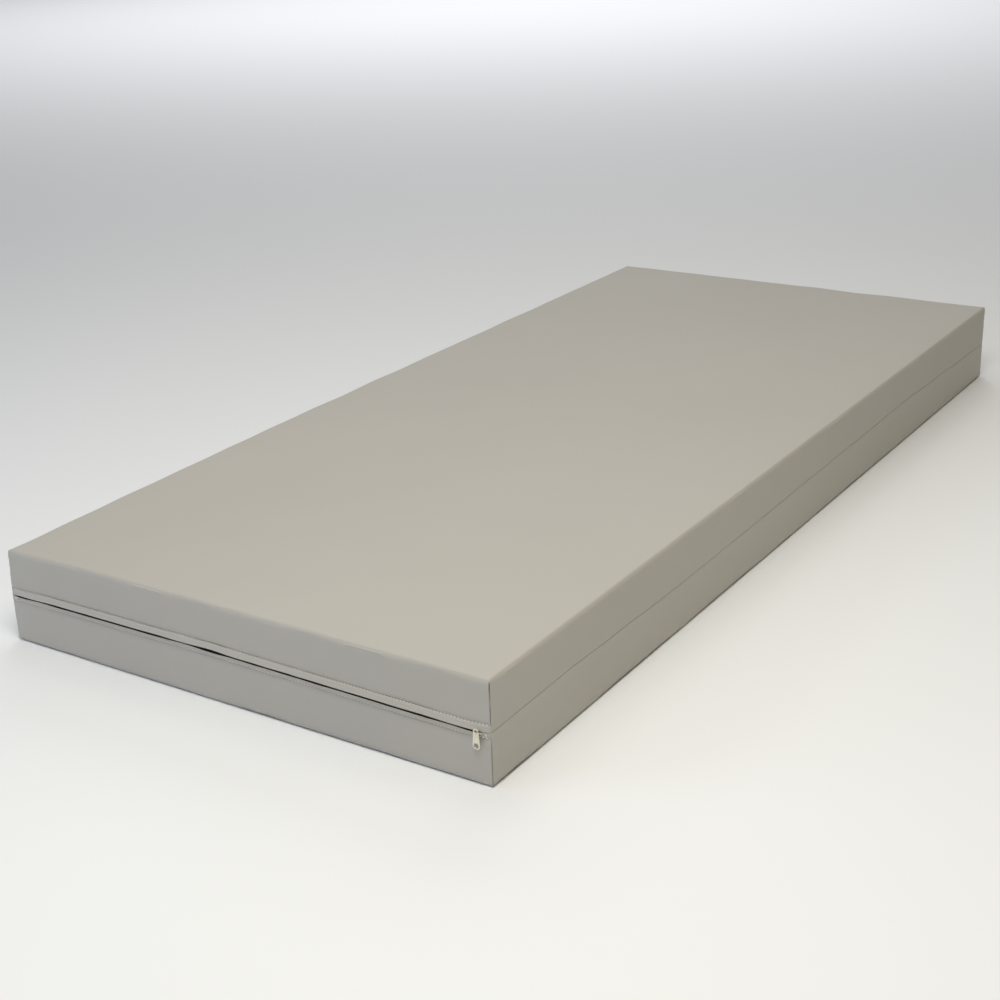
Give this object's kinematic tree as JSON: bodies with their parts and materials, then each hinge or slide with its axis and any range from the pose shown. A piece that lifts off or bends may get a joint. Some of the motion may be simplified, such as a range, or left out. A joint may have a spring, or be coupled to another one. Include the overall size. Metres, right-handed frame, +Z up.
{
  "type": "pressure relief mattress",
  "caption": "Pressure relief mattress: layered castellated foam core in a wipe-clean cover that opens with a zip across the foot end.",
  "frame": {"origin": "middle of the underside, midway between the foot and head ends and between the two sides", "axes": "+Z up through the lying surface; +Y along the length from the foot end, where the zip is, to the head end; +X across the width, to the right for someone at the foot end who looks towards the head end"},
  "size_m": [0.9, 2.0066, 0.16],
  "materials": {
    "coated_fabric": "smooth matt polyurethane-coated stretch fabric, warm grey, wipe-clean",
    "seam_thread": "dark spun polyester thread sunk in a seam",
    "topstitch_thread": "cream spun polyester thread",
    "zip_tape": "dark grey woven polyester tape",
    "zip_coil": "dark grey polyester monofilament coil, slightly glossy",
    "zip_metal": "pale nickel-plated zinc die casting with a warm tone",
    "base_foam": "open-cell high-resilience foam, fine cut face",
    "side_foam": "firm open-cell foam, fine cut face",
    "relief_foam": "soft viscoelastic foam, fine cut face"
  },
  "bodies": {
    "mattress": {"cover_top": "coated_fabric", "cover_base": "coated_fabric", "corner_seam_upper_foot_left": "seam_thread", "corner_seam_lower_foot_left": "seam_thread", "corner_seam_upper_foot_right": "seam_thread", "corner_seam_lower_foot_right": "seam_thread", "corner_seam_upper_head_left": "seam_thread", "corner_seam_lower_head_left": "seam_thread", "corner_seam_upper_head_right": "seam_thread", "corner_seam_lower_head_right": "seam_thread", "side_seam_left": "seam_thread", "side_seam_right": "seam_thread", "head_seam": "seam_thread", "topstitch_upper": "topstitch_thread", "topstitch_lower": "topstitch_thread", "end_tack_left": "topstitch_thread", "end_tack_right": "topstitch_thread", "zip_tape_upper": "zip_tape", "zip_tape_lower": "zip_tape", "zip_coil_upper": "zip_coil", "zip_coil_lower": "zip_coil", "zip_stop_left": "zip_metal", "zip_stop_right": "zip_metal", "foam_base": "base_foam", "foam_side_left": "side_foam", "foam_side_right": "side_foam", "foam_relief_layer": "relief_foam"},
    "slider": {"zip_slider": "zip_metal"},
    "pull": {"zip_pull": "zip_metal"}
  },
  "joints": [
    {"name": "zip_slide", "type": "slide", "parent": "mattress", "child": "slider", "axis": [-1, 0, 0], "range_m": [0, 0.86]},
    {"name": "pull_swing", "type": "hinge", "parent": "slider", "child": "pull", "pos_m": [0.42865, -1.0041, 0.082], "axis": [0, 1, 0], "range_deg": [-35, 180]}
  ]
}
